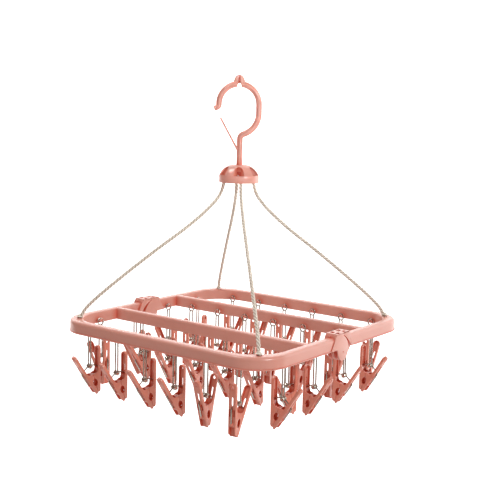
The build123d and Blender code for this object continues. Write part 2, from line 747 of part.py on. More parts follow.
def spring(clip):
    """The wire of one clip: eye over the peg, two wires down, coil and two arms."""
    up = Vector(0, 0, 1)
    width = 2 * wire_radius
    rim = eye_radius + wire_radius
    hang = Plane(origin=clip.eye, x_dir=clip.across, z_dir=clip.outward * -1)
    wire_top = eye_radius - 1.6 * wire_radius
    legs = clip.leg_plane(True)
    with BuildPart() as wire:
        # eye over the peg, and the two wires down to the coil
        with BuildSketch(hang.offset(-width / 2)):
            RegularPolygon(rim, 6, major_radius=False, rotation=0)
            RegularPolygon(rim - width, 6, major_radius=False, rotation=0, mode=Mode.SUBTRACT)
            for way in (-1, 1):
                Polygon(
                    (way * wire_spread - way * width / 2, -wire_top),
                    (way * wire_spread + way * width / 2, -wire_top),
                    (way * wire_spread + way * width / 2, coil_z - eye_z),
                    (way * wire_spread - way * width / 2, coil_z - eye_z),
                    align=None,
                )
        extrude(amount=width)
        # coil across the clip
        with BuildSketch(Plane(origin=clip.coil, x_dir=up, z_dir=clip.across)):
            RegularPolygon(coil_radius, 6)
        extrude(amount=wire_spread + wire_radius, both=True)
        # the two arms, out through the slots and down the backs of the jaws
        with BuildSketch(legs):
            for way in (-1, 1):
                knee = inside_back(leg_length - (slot_top + slot_foot) / 2 - 2, -wire_radius - arm_gap)
                end = inside_back(arm_foot, -wire_radius - arm_gap)
                Polygon(
                    (0, way * 0.1),
                    (-width / 2, way * width),
                    (knee[0] - width / 2, way * (knee[1] + wire_radius)),
                    (end[0], way * (end[1] + wire_radius)),
                    (end[0], way * (end[1] - wire_radius)),
                    (knee[0], way * (knee[1] - wire_radius)),
                    (width / 2, way * 0.1),
                    align=None,
                )
        extrude(amount=wire_radius, both=True)
    return wire.part


# Each hang group: name, its clips, and the way its slanted legs point.
rail_eye_y = rail_inner_y - ring_on_peg
bar_eye_y = bar_offset - bar_width / 2 - ring_on_peg
side_eye_x = rail_inner_x - ring_on_peg
groups = {
    "front_rail": [
        Clip(x, -rail_eye_y, (0, -1), turn) for x, turn in zip(row_x, (-13, -9, -13, -9))
    ] + [
        Clip(row_x[4], -rail_eye_y, (0, -1), 5, lean=1), Clip(row_x[5], -rail_eye_y, (0, 1), 7),
    ],
    "front_bar": [
        Clip(x, -bar_eye_y, (0, -1), turn) for x, turn in zip(row_x, (-5, 3, 7, -4, 5, -7))
    ],
    "rear_bar": [
        Clip(x, bar_eye_y, (0, 1), turn) for x, turn in zip(row_x, (4, -6, 2, 8, -3, 5))
    ],
    "rear_rail": [
        Clip(x, rail_eye_y, (0, 1), turn) for x, turn in zip(row_x, (-4, 5, -2, 6, -7, 3))
    ],
    "front_outer_side": [
        Clip(-side_eye_x, -side_peg_outer, (-1, 0), -5), Clip(side_eye_x, -side_peg_outer, (1, 0), 4),
    ],
    "front_inner_side": [
        Clip(-side_eye_x, -side_peg_inner, (-1, 0), 6), Clip(side_eye_x, -side_peg_inner, (1, 0), -3),
    ],
    "rear_inner_side": [
        Clip(-side_eye_x, side_peg_inner, (-1, 0), -3), Clip(side_eye_x, side_peg_inner, (1, 0), 5),
    ],
    "rear_outer_side": [
        Clip(-side_eye_x, side_peg_outer, (-1, 0), 4), Clip(side_eye_x, side_peg_outer, (1, 0), -4),
    ],
}

for group, clips in groups.items():
    springs = [spring(clip) for clip in clips]
    upright_legs = [leg(clip, upright=True) for clip in clips]
    with BuildPart() as wires:
        for piece in springs:
            add(piece)
    save(wires.part, group + "_springs")
    with BuildPart() as fixed:
        for piece in upright_legs:
            add(piece)
    save(fixed.part, group + "_fixed_jaws")
    for number, clip in enumerate(clips, start=1):
        save(leg(clip, upright=False), group + "_jaw_" + str(number))

print("nodes", len(written))
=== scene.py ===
import math

import bmesh
import bpy
from mathutils import Matrix, Vector
from mathutils.noise import noise
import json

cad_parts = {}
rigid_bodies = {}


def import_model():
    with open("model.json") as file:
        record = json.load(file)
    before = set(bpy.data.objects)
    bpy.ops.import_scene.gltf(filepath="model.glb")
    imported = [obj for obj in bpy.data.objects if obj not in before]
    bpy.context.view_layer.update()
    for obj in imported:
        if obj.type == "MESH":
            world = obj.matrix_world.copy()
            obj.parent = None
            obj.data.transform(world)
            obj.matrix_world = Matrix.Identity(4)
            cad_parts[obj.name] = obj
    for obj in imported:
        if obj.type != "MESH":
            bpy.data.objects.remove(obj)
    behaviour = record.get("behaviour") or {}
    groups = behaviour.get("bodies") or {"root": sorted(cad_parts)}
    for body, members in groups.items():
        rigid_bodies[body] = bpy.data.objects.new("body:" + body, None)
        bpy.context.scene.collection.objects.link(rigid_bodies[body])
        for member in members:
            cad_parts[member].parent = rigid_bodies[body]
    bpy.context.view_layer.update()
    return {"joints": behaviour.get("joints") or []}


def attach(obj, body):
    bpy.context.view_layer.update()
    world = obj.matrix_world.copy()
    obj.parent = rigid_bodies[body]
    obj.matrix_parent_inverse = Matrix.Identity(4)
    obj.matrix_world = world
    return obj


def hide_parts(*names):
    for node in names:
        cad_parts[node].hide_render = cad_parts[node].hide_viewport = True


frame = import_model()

# Sizes below are in millimetres and turned into metres by MM.
MM = 0.001

# ---------------------------------------------------------------- sizes
HALF = 210.0                # half the open frame, along X and along Y
FRAME_TOP = -381.0          # below the hook seat
RAIL_WIDTH = 15.3
RAIL_HEIGHT = 19.0
RAIL_FOOT = FRAME_TOP - RAIL_HEIGHT
RAIL_WALL = 2.0
TOP_WALL = 2.4
SHOULDER = 5.0
INNER_ROUNDING = 2.5
OUTER_CORNER = 57.0
INNER_CORNER = 56.0
INNER = HALF - RAIL_WIDTH
LIP = 1.0
LIP_HEIGHT = 1.4
BAR_WIDTH = 12.6
BAR_CENTRE = 78.1
ROPE_HOLE = (182.5, 4.4)    # place, the same along X and along Y, and radius

PEG_Z = RAIL_FOOT + 5.6
PEG_PITCH = 61.0
SIDE_PEGS = (44.0, 128.4)

PIVOT_Z = FRAME_TOP - 24.0
HINGE_RISE = 6.2
HINGE_INNER = INNER - 3.7
HINGE_OUTER = HALF + 1.5
HINGE_MID = (HINGE_INNER + HINGE_OUTER) / 2
LOBE = 14.0

HOOK_TURN = math.radians(36.5)
ROD = 4.7
RING = 32.7
RING_OFFSET = 2.7
RING_Z = -28.1
HUB_FOOT = -155.0
HUB_TOP = -126.4
HUB_RADIUS = 33.0
HUB_PLATEAU = 14.0

# the route of a rope, as (distance out from the middle, height over the frame's top)
ROPE_ROUTE = [
    (24.04, 234.0), (25.0, 212.0), (45.0, 185.5), (83.5, 151.0), (126.0, 119.5),
    (172.0, 83.0), (212.5, 49.5), (240.0, 25.0), (254.6, 8.0), (258.09, -5.5),
]

SPREAD = math.radians(16.0)  # of each leg's back from the parting line
WALL_DEPTH = 4.6            # side walls of a clip leg, beside the paddle
CLIP_WIDTH = 12.4
LEG = 78.0
TIP_HALF = 4.5              # half the clip's thickness at its tips
JAW = 48.0                  # tips below the coil
WIRE = 1.2                  # radius, as the eye's and the coil's below
EYE = 5.5
COIL = 3.9
WIRE_SPREAD = 3.3           # each long wire from the clip's middle
EYE_OVER_COIL = 58.95

# ---------------------------------------------------------------- camera
CAMERA_PLACE = (0.9607, -1.2594, -0.0422)   # metres
HEADING, FALL, LEAN_SIDE = math.radians(36.57), math.radians(8.08), math.radians(1.45)

camera = bpy.data.objects.new("camera", bpy.data.cameras.new("camera"))
bpy.context.scene.collection.objects.link(camera)
bpy.context.scene.camera = camera
camera.data.sensor_width = 36.0
camera.data.lens = 69.3
camera.data.clip_end = 20.0
camera.matrix_world = (
    Matrix.Translation(CAMERA_PLACE)
    @ Matrix.Rotation(HEADING, 4, "Z")
    @ Matrix.Rotation(math.pi / 2 - FALL, 4, "X")
    @ Matrix.Rotation(LEAN_SIDE, 4, "Z")
)


# ---------------------------------------------------------------- materials
OCCLUSION_SAMPLES = 6


def new_material(name):
    """A node material, its nodes and links, and its shader."""
    material = bpy.data.materials.new(name)
    material.use_nodes = True
    nodes = material.node_tree.nodes
    return material, nodes, material.node_tree.links, nodes["Principled BSDF"]


def plastic(name, colour, recess_shade, rough=0.27, glow=0.0):
    """Moulded plastic: slightly uneven colour, painted shade in the recesses in a deeper colour,
    and a faint skin.

    The glow is painted light, standing in for the light that such plastic passes on; it takes the
    painted shade too.
    """
    material, nodes, links, shader = new_material(name)
    place = nodes.new("ShaderNodeTexCoord")
    cloud = nodes.new("ShaderNodeTexNoise")
    cloud.inputs["Scale"].default_value = 22.0
    cloud.inputs["Detail"].default_value = 3.0
    tint = nodes.new("ShaderNodeMix")
    tint.data_type = "RGBA"
    tint.inputs["A"].default_value = (*colour, 1)
    tint.inputs["B"].default_value = (*[value * 0.94 for value in colour], 1)
    recess = nodes.new("ShaderNodeAmbientOcclusion")
    recess.inputs["Distance"].default_value = 0.014
    recess.samples = OCCLUSION_SAMPLES
    steep = nodes.new("ShaderNodeMath")
    steep.operation = "POWER"
    steep.inputs[1].default_value = 1.8
    # painted shade: this mix lays the recess_shade colour in where occlusion finds recesses
    depth = nodes.new("ShaderNodeMix")
    depth.data_type = "RGBA"
    depth.inputs["A"].default_value = (*recess_shade, 1)
    skin = nodes.new("ShaderNodeTexNoise")
    skin.inputs["Scale"].default_value = 260.0
    bump = nodes.new("ShaderNodeBump")
    bump.inputs["Strength"].default_value = 0.02
    bump.inputs["Distance"].default_value = 0.0003
    links.new(place.outputs["Object"], cloud.inputs["Vector"])
    links.new(place.outputs["Object"], skin.inputs["Vector"])
    links.new(cloud.outputs["Fac"], tint.inputs["Factor"])
    links.new(recess.outputs["AO"], steep.inputs[0])
    links.new(steep.outputs["Value"], depth.inputs["Factor"])
    links.new(tint.outputs["Result"], depth.inputs["B"])
    links.new(depth.outputs["Result"], shader.inputs["Base Color"])
    # painted light: the glow takes the same colour, painted shade included
    links.new(depth.outputs["Result"], shader.inputs["Emission Color"])
    links.new(skin.outputs["Fac"], bump.inputs["Height"])
    links.new(bump.outputs["Normal"], shader.inputs["Normal"])
    shader.inputs["Roughness"].default_value = rough
    shader.inputs["Specular IOR Level"].default_value = 0.62
    shader.inputs["Emission Strength"].default_value = glow
    shader.inputs["Subsurface Weight"].default_value = 0.12
    shader.inputs["Subsurface Radius"].default_value = (0.008, 0.002, 0.0012)
    return material


def steel(name):
    """Drawn spring wire, unevenly bright."""
    material, nodes, links, shader = new_material(name)
    place = nodes.new("ShaderNodeTexCoord")
    drawn = nodes.new("ShaderNodeTexNoise")
    drawn.inputs["Scale"].default_value = 90.0
    ramp = nodes.new("ShaderNodeValToRGB")
    ramp.color_ramp.elements[0].color = (0.34, 0.31, 0.26, 1)
    ramp.color_ramp.elements[1].color = (0.60, 0.56, 0.50, 1)
    links.new(place.outputs["Object"], drawn.inputs["Vector"])
    links.new(drawn.outputs["Fac"], ramp.inputs["Fac"])
    links.new(ramp.outputs["Color"], shader.inputs["Base Color"])
    shader.inputs["Metallic"].default_value = 0.95
    shader.inputs["Roughness"].default_value = 0.22
    return material


def twine(name):
    """Cotton rope: fine fibres, with painted shade darkening the grooves between its strands."""
    material, nodes, links, shader = new_material(name)
    place = nodes.new("ShaderNodeTexCoord")
    fibre = nodes.new("ShaderNodeTexNoise")
    fibre.inputs["Scale"].default_value = 1400.0
    fibre.inputs["Detail"].default_value = 4.0
    ramp = nodes.new("ShaderNodeValToRGB")
    ramp.color_ramp.elements[0].color = (0.60, 0.53, 0.43, 1)
    ramp.color_ramp.elements[1].color = (0.84, 0.79, 0.70, 1)
    ramp.color_ramp.elements[0].position = 0.25
    ramp.color_ramp.elements[1].position = 0.6
    bump = nodes.new("ShaderNodeBump")
    bump.inputs["Strength"].default_value = 0.35
    bump.inputs["Distance"].default_value = 0.0004
    links.new(place.outputs["Object"], fibre.inputs["Vector"])
    links.new(fibre.outputs["Fac"], ramp.inputs["Fac"])
    links.new(fibre.outputs["Fac"], bump.inputs["Height"])
    links.new(bump.outputs["Normal"], shader.inputs["Normal"])
    # painted shade: occlusion darkens the grooves between the strands towards this dark brown
    groove = nodes.new("ShaderNodeAmbientOcclusion")
    groove.inputs["Distance"].default_value = 0.0028
    groove.samples = OCCLUSION_SAMPLES
    shade = nodes.new("ShaderNodeMix")
    shade.data_type = "RGBA"
    shade.inputs["A"].default_value = (0.13, 0.08, 0.045, 1)
    links.new(groove.outputs["AO"], shade.inputs["Factor"])
    links.new(ramp.outputs["Color"], shade.inputs["B"])
    links.new(shade.outputs["Result"], shader.inputs["Base Color"])
    shader.inputs["Roughness"].default_value = 0.85
    shader.inputs["Sheen Weight"].default_value = 0.2
    return material


# both plastics carry painted shade in their recesses and a faint painted glow
pink = plastic("pink_plastic", (0.65, 0.30, 0.24), (0.60, 0.08, 0.035), glow=0.08)
clip_pink = plastic(
    "clip_plastic", (0.62, 0.215, 0.15), (0.50, 0.045, 0.012), rough=0.25, glow=0.12
)
# painted light: a lighter copy of the plastic with a strong glow, to brighten the hub's dim inside
hub_inside_painted_light = plastic("hub_inside", (0.66, 0.34, 0.27), (0.50, 0.11, 0.06), glow=0.4)
wire_steel = steel("spring_steel")
rope_fibre = twine("rope_fibre")


# ---------------------------------------------------------------- mesh helpers
SHARP_ANGLE = 38            # degrees between faces that keep a sharp edge
WELD, FINE_WELD = 0.00001, 0.000002     # metres
BEVEL_STEPS = 2

HERE = Matrix.Identity(4)
UP = Vector((0, 0, 1))
# Two pieces of one mesh never share a plane: the hidden one stands back by this.
BACK = 0.12


def link(name, data, material, body, matrix=None):
    """A piece from a mesh, with its finish, that rides on a body."""
    if not data.materials:
        data.materials.append(material)
    data.shade_smooth()
    data.set_sharp_from_angle(angle=math.radians(SHARP_ANGLE))
    piece = bpy.data.objects.new(name, data)
    bpy.context.scene.collection.objects.link(piece)
    if matrix is not None:
        piece.matrix_world = matrix
    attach(piece, body)
    return piece


def skin(name, rings, closed=False):
    """A mesh from rings of points with the same count; ends are capped unless closed."""
    count = len(rings[0])
    points = [Vector(point) * MM for ring in rings for point in ring]
    faces = []
    last = len(rings) if closed else len(rings) - 1
    for index in range(last):
        here, there = index * count, (index + 1) % len(rings) * count
        for step in range(count):
            after = (step + 1) % count
            faces.append((here + step, here + after, there + after, there + step))
    if not closed:
        faces.append(tuple(range(count))[::-1])
        faces.append(tuple((len(rings) - 1) * count + step for step in range(count)))
    data = bpy.data.meshes.new(name)
    data.from_pydata(points, [], faces)
    return tidy(data)


def tidy(data, weld=WELD):
    """Join points that meet and turn the faces outwards."""
    work = bmesh.new()
    work.from_mesh(data)
    bmesh.ops.remove_doubles(work, verts=work.verts, dist=weld)
    bmesh.ops.recalc_face_normals(work, faces=work.faces)
    work.to_mesh(data)
    work.free()
    return data


def join(name, parts):
    """One mesh from several, each with its own place."""
    work = bmesh.new()
    for data, matrix in parts:
        copy = data.copy()
        copy.transform(matrix)
        work.from_mesh(copy)
    joined = bpy.data.meshes.new(name)
    work.to_mesh(joined)
    work.free()
    return joined


def plate(outlines, low, high, edge=0.35):
    """A flat piece cut to outlines in its own XY plane, from low to high, its edges rounded."""
    curve = bpy.data.curves.new("plate", "CURVE")
    curve.dimensions = "2D"
    curve.fill_mode = "BOTH"
    for outline in outlines:
        spline = curve.splines.new("POLY")
        spline.points.add(len(outline) - 1)
        for point, (x, y) in zip(spline.points, outline):
            point.co = (x * MM, y * MM, 0, 1)
        spline.use_cyclic_u = True
    edge = min(edge, (high - low) * 0.49)   # thin plates keep a side face
    curve.extrude = ((high - low) / 2 - edge) * MM
    curve.bevel_depth = edge * MM
    curve.bevel_resolution = BEVEL_STEPS
    curve.offset = -edge * MM
    holder = bpy.data.objects.new("plate", curve)
    data = bpy.data.meshes.new_from_object(holder)
    data.transform(Matrix.Translation((0, 0, (low + high) / 2 * MM)))
    bpy.data.objects.remove(holder)
    return tidy(data, FINE_WELD)


def rod(points, radius, resolution=3, closed=False):
    """A round rod or wire along points, as a mesh."""
    curve = bpy.data.curves.new("rod", "CURVE")
    curve.dimensions = "3D"
    spline = curve.splines.new("POLY")
    spline.points.add(len(points) - 1)
    for point, place in zip(spline.points, points):
        point.co = (*(Vector(place) * MM), 1)
    spline.use_cyclic_u = closed
    curve.bevel_depth = radius * MM
    curve.bevel_resolution = resolution
    curve.use_fill_caps = True
    holder = bpy.data.objects.new("rod", curve)
    data = bpy.data.meshes.new_from_object(holder)
    bpy.data.objects.remove(holder)
    return tidy(data, FINE_WELD)


def arc(centre, radius, start, end, count):
    """Points of an arc in a plane, angles in degrees."""
    points = []
    for index in range(count + 1):
        angle = math.radians(start + (end - start) * index / count)
        points.append((centre[0] + radius * math.cos(angle), centre[1] + radius * math.sin(angle)))
    return points


def box(x_low, x_high, y_low, y_high):
    """A rectangle's outline."""
    return [(x_low, y_low), (x_high, y_low), (x_high, y_high), (x_low, y_high)]


def revolve(profile, sides):
    """A turned piece about Z from (radius, height) points that make a closed outline."""
    rings = []
    for index in range(sides):
        angle = 2 * math.pi * index / sides
        rings.append([(r * math.cos(angle), r * math.sin(angle), z) for r, z in profile])
    return skin("turned", rings, closed=True)


def cut(data, cutters):
    """Take the cutters out of a mesh."""
    holder = bpy.data.objects.new("cut", data)
    bpy.context.scene.collection.objects.link(holder)
    tools = []
    for cutter in cutters:
        tool = bpy.data.objects.new("cutter", cutter)
        bpy.context.scene.collection.objects.link(tool)
        modifier = holder.modifiers.new("cut", "BOOLEAN")
        modifier.object = tool
        modifier.operation = "DIFFERENCE"
        modifier.solver = "EXACT"
        tools.append(tool)
    bpy.context.view_layer.update()
    graph = bpy.context.evaluated_depsgraph_get()
    result = bpy.data.meshes.new_from_object(holder.evaluated_get(graph))
    for tool in tools + [holder]:
        bpy.data.objects.remove(tool)
    return result


def cylinder(radius, low, high, sides=24):
    """A round column about Z."""
    ring = arc((0, 0), radius, 0, 360 - 360 / sides, sides - 1)
    return skin("cylinder", [[(x, y, z) for x, y in ring] for z in (low, high)])


def axes(origin, x_axis, z_axis):
    """A place with its own X and Z directions."""
    x_axis, z_axis = Vector(x_axis).normalized(), Vector(z_axis).normalized()
    y_axis = z_axis.cross(x_axis)
    turn = Matrix((x_axis, y_axis, z_axis)).transposed().to_4x4()
    return Matrix.Translation(Vector(origin) * MM) @ turn


# ---------------------------------------------------------------- ropes
STRANDS = 3
STRAND = 1.42               # radius of one strand
STRAND_RING = 1.6           # strands' centres from the rope's line
LAY_LENGTH = 19.0           # along the rope for one turn of a strand
LAY_STEP = 1.2              # between a strand's points
ROUTE_STEPS = 24

# turned knots, as (radius, height)
KNOT = [(0.6, -2.4), (3.4, -2.0), (4.6, 0.2), (3.6, 2.4), (2.4, 3.6), (0.6, 3.9)]
COLLAR = [
    (0.6, -2.6), (2.8, -2.4), (2.9, 0.0), (5.4, 0.6), (5.7, 1.1),
    (4.6, 1.5), (3.0, 2.2), (2.6, 3.4), (0.6, 4.6),
]
FLOOR_KNOT = 6.6            # above the hub's foot
CORNER_KNOT = 12.0          # above the rail's foot
COLLAR_RISE = 1.6           # above the frame's top
FLUFF = 0.35                # how uneven a knot is
FLUFF_SCALE = 700


def rope_line(side_x, side_y):
    """The rope's line: points read from the smooth spline through its route."""
    curve = bpy.data.curves.new("route", "CURVE")
    curve.dimensions = "3D"
    curve.resolution_u = ROUTE_STEPS
    spline = curve.splines.new("NURBS")
    spline.points.add(len(ROPE_ROUTE) - 1)
    for point, (reach, rise) in zip(spline.points, ROPE_ROUTE):
        across = reach * MM / math.sqrt(2)
        point.co = (side_x * across, side_y * across, (FRAME_TOP + rise) * MM, 1)
    spline.order_u = 3
    spline.use_endpoint_u = True
    holder = bpy.data.objects.new("route", curve)
    line = bpy.data.meshes.new_from_object(holder)
    bpy.data.objects.remove(holder)
    return [vertex.co.copy() for vertex in line.vertices]


def even(points, step):
    """The same line with evenly spaced points, and its length."""
    lengths = [0.0]
    for a, b in zip(points, points[1:]):
        lengths.append(lengths[-1] + (b - a).length)
    count = round(lengths[-1] / step)
    result, index = [], 0
    for number in range(count + 1):
        target = lengths[-1] * number / count
        while index < len(points) - 2 and lengths[index + 1] < target:
            index += 1
        span = lengths[index + 1] - lengths[index]
        result.append(points[index].lerp(points[index + 1], (target - lengths[index]) / span))
    return result, lengths[-1]


def strand_points(line, side, start):
    """One strand's points, wound about the rope's line from a share of a turn."""
    points = []
    for index, here in enumerate(line):
        before, after = line[max(index - 1, 0)], line[min(index + 1, len(line) - 1)]
        along = (after - before).normalized()
        up = along.cross(side).normalized()
        angle = 2 * math.pi * (start - index * LAY_STEP / LAY_LENGTH)
        offset = (side * math.cos(angle) + up * math.sin(angle)) * STRAND_RING * MM
        points.append((here + offset) / MM)
    return points


def rope(name, side_x, side_y, body):
    """A three-strand rope from the hub to a corner of the frame, with its knots."""
    line, length = even(rope_line(side_x, side_y), LAY_STEP * MM)
    side = Vector((-side_y, side_x, 0)).normalized()
    strands = [
        (rod(strand_points(line, side, strand / STRANDS), STRAND), HERE)
        for strand in range(STRANDS)
    ]
    piece = link(name, join(name, strands), rope_fibre, body)
    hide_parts(name)
    # a knot on the hub's floor, one under the frame's corner and a fluffed collar on it
    top, foot = line[0] / MM, line[-1] / MM
    for label, place, profile in (
        ("_knot", Vector((top.x, top.y, HUB_FOOT + FLOOR_KNOT)), KNOT),
        ("_knot_001", Vector((foot.x, foot.y, RAIL_FOOT + CORNER_KNOT)), KNOT),
        ("_collar", Vector((foot.x, foot.y, FRAME_TOP + COLLAR_RISE)), COLLAR),
    ):
        turned = revolve(profile, 20)
        for vertex in turned.vertices:
            shift = noise(vertex.co * FLUFF_SCALE + place) * FLUFF * MM
            vertex.co += Vector((vertex.co.x, vertex.co.y, 0)).normalized() * shift
        link(name + label, turned, rope_fibre, body, matrix=Matrix.Translation(place * MM))


for name, side_x, side_y in (
    ("rope_front_left", -1, -1), ("rope_front_right", 1, -1),
    ("rope_rear_left", -1, 1), ("rope_rear_right", 1, 1),
):
    rope(name, side_x, side_y, "front_ropes" if side_y < 0 else "rear_ropes")

# ---------------------------------------------------------------- hook
HOOK_PLANE = Matrix.Rotation(HOOK_TURN, 4, "Z") @ Matrix.Rotation(math.pi / 2, 4, "X")
STEM_FOOT = HUB_TOP - 11.3
STEM_STRAIGHT = 20          # straight stem below the bend
BEND_ANGLE = 72
BEND_RADIUS = 8.0
UPRIGHT = 14.5              # straight run below the ring's centre
END_ANGLE = 64              # the free end's curl
END_RADIUS = 6.0
END_DROP = 0.5
END_RUNS = (1.5, 3.0, 4.0, 4.5)
TAPER = 0.25                # lost from the rod's section at the free end
TAPER_RINGS = 11

bend = math.radians(BEND_ANGLE)
sweep = (RING - RING_OFFSET - BEND_RADIUS * (1 - math.cos(bend))) / (1 - math.cos(bend))
sweep_top = RING_Z - UPRIGHT
bend_z = sweep_top - (BEND_RADIUS + sweep) * math.sin(bend)

rod_line = [(0, STEM_FOOT), (0, bend_z - STEM_STRAIGHT)]
rod_line += arc((BEND_RADIUS, bend_z), BEND_RADIUS, 180, 180 - BEND_ANGLE, 8)
rod_line += arc((RING - RING_OFFSET - sweep, sweep_top), sweep, -BEND_ANGLE, 0, 16)[1:]
rod_line += arc((-RING_OFFSET, RING_Z), RING, 0, 180, 40)
rod_line += arc(
    (-RING - RING_OFFSET - END_RADIUS, RING_Z - END_DROP), END_RADIUS, 0, -END_ANGLE, 8
)
last = rod_line[-1]
away = (-math.sin(math.radians(END_ANGLE)), -math.cos(math.radians(END_ANGLE)))
rod_line += [(last[0] + away[0] * run, last[1] + away[1] * run) for run in END_RUNS]

# the rod's section: a raised rib down the middle of each face, rounded edges beside it
QUARTER = [
    (4.8, 0.0), (4.7, 1.4), (4.2, 2.5), (3.3, 3.0), (2.5, 3.2),
    (2.1, 4.0), (1.4, 4.5), (0.7, 4.7), (0.0, 4.75),
]
rod_section = []
for across, sign in ((1, 1), (-1, 1), (-1, -1), (1, -1)):
    quarter = QUARTER if across * sign > 0 else QUARTER[::-1]
    rod_section += [(across * w, sign * d) for w, d in quarter[:-1]]


def sweep_flat(line, section):
    """A section swept along a line in the hook's plane, tapered at the line's end."""
    rings = []
    for index, here in enumerate(line):
        before, after = line[max(index - 1, 0)], line[min(index + 1, len(line) - 1)]
        dx, dy = after[0] - before[0], after[1] - before[1]
        size = math.hypot(dx, dy)
        normal = (-dy / size, dx / size)
        size = 1.0 - TAPER * max(0.0, (index - len(line) + TAPER_RINGS + 1) / TAPER_RINGS) ** 2
        rings.append([
            (here[0] + normal[0] * w * size, here[1] + normal[1] * w * size, d * size)
            for w, d in section
        ])
    return skin("sweep", rings)


EAR_FOOT = RING_Z + RING
EAR_HALF = 10.2
# half of the ears' outline, from their foot to the flat top, about their middle
EAR_EDGE = [(8.6, 6.6), (7.2, 10.0), (5.0, 12.8), (2.4, 14.4)]


def notch(outline, low, high):
    """The line notch: half of its outline, mirrored about the ears' middle."""
    points = [(-RING_OFFSET + x, z) for x, z in outline]
    points += [(-RING_OFFSET - x, z) for x, z in reversed(outline)]
    return plate([points], low, high, 0.1)


# both ears in one outline, with a foot that sinks into the rod
ear_outline = [(-EAR_HALF - 3.0, -1.5), (-EAR_HALF + 0.6, 2.6)]
ear_outline += [(-x, y) for x, y in EAR_EDGE] + EAR_EDGE[::-1]
ear_outline += [(EAR_HALF - 0.6, 2.6), (EAR_HALF + 3.0, -1.5), (4.5, -4.4), (-4.5, -4.4)]
ears = plate([[(-RING_OFFSET + x, EAR_FOOT + y) for x, y in ear_outline]], -4.0, 4.0, 1.2)
# it goes right through at the rod, and is a narrow groove between the ears above
notch_front = notch([(3.3, -9.0), (3.3, 2.0), (2.3, 5.0), (0.9, EAR_FOOT + 16)], -1.2, 9.0)
notch_back = notch([(3.3, -9.0), (3.3, 3.0), (1.5, 6.0)], -9.0, -1.1)
rod_mesh = cut(sweep_flat(rod_line, rod_section), [notch_front, notch_back])
ears = cut(ears, [notch_front, notch_back])
collar = revolve(
    [(0, STEM_FOOT - 3.0), (7.6, STEM_FOOT - 3.0), (7.6, STEM_FOOT), (0, STEM_FOOT)], 32
)
hook_mesh = join("hook_shape", [(rod_mesh, HOOK_PLANE), (ears, HOOK_PLANE), (collar, HERE)])
hook = link("hook_rod", hook_mesh, pink, "hook")
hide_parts("hook")

# gate: a thin tongue across the mouth, thinner and narrower at its tip
GATE_ROOT = (-ROD + 1.6, -102.5)
GATE_REACH = (29.5, 52.5)
GATE_FACE = (0.86, 0.5)     # the way its face looks
GATE_STEPS = 12
tongue = []
for index in range(GATE_STEPS + 1):
    share = index / GATE_STEPS
    thick, wide = 1.6 - 0.3 * share, 3.0 - 0.6 * share
    x, z = GATE_ROOT[0] - GATE_REACH[0] * share, GATE_ROOT[1] + GATE_REACH[1] * share
    tongue.append([
        (x + sign * thick * GATE_FACE[0], z + sign * thick * GATE_FACE[1], edge * wide)
        for sign, edge in ((1, -1), (1, 1), (-1, 1), (-1, -1))
    ])
gate_mesh = join("gate", [(skin("gate", tongue), HOOK_PLANE)])
gate = link("gate_tongue", gate_mesh, pink, "hook_gate")
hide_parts("hook_gate")

# ---------------------------------------------------------------- hub
HUB_WALL = 2.2
BORE = 4.85
BOSS = 8.0
WINDOWS = 6
ROPE_PLACE = 17             # a rope's hole, along X and along Y
# the dome's outside above the hub's foot, as (radius, height)
DOME = [
    (HUB_RADIUS - 0.5, 0), (HUB_RADIUS, 0.8), (HUB_RADIUS, 11.4), (HUB_RADIUS - 0.7, 12.4),
    (31.2, 14.8), (28.8, 18.6), (25.6, 22.2), (21.6, 25.2), (17.4, 27.4),
    (HUB_PLATEAU, 28.4), (6.0, 28.6),
]
# a web between two windows, from the boss outwards
WEB = [(6.5, 4.2), (30.0, 4.2), (30.6, 12.5), (27.0, 19.0), (20.0, 24.4), (12, 27.2), (6.5, 27.6)]
WEB_HALF = 0.8
FLOOR_LOW, FLOOR_HIGH = 1.5, 4.0    # above the hub's foot
FLOOR_RADIUS = 31.4
ROPE_OPENING = 3.6
ARCH_START, ARCH_RISE = 9.5, 12.2   # a window's cutter: from the stem, above the foot


def around(start, index):
    """The way out from the stem to a window or a web."""
    turn = HOOK_TURN - start + index * math.pi / (WINDOWS / 2)
    return Vector((math.cos(turn), math.sin(turn), 0))


inside = [
    (r - HUB_WALL * min(1, (r - 4) / 20), z - HUB_WALL * min(1, (34 - r) / 12)) for r, z in DOME[3:]
][::-1]
inside += [(HUB_RADIUS - HUB_WALL, 11.0), (HUB_RADIUS - HUB_WALL, 0)]
shell = revolve([(r, HUB_FOOT + z) for r, z in DOME + inside], 72)

arch_top = [(x, y * 1.22) for x, y in arc((0, 3.2), 8.0, 172, 8, 16)]
arch_outline = [(-8.6, 0), (-8.5, 3.0)] + arch_top + [(8.5, 3.0), (8.6, 0)]
arches = []
for index in range(WINDOWS):
    out = around(math.pi / 2, index)
    arch = plate([arch_outline], 0, 30, 0.05)
    arch_foot = out * ARCH_START + Vector((0, 0, HUB_FOOT + ARCH_RISE))
    arch.transform(axes(arch_foot, UP.cross(out), out))
    arches.append(arch)
shell = cut(shell, arches)

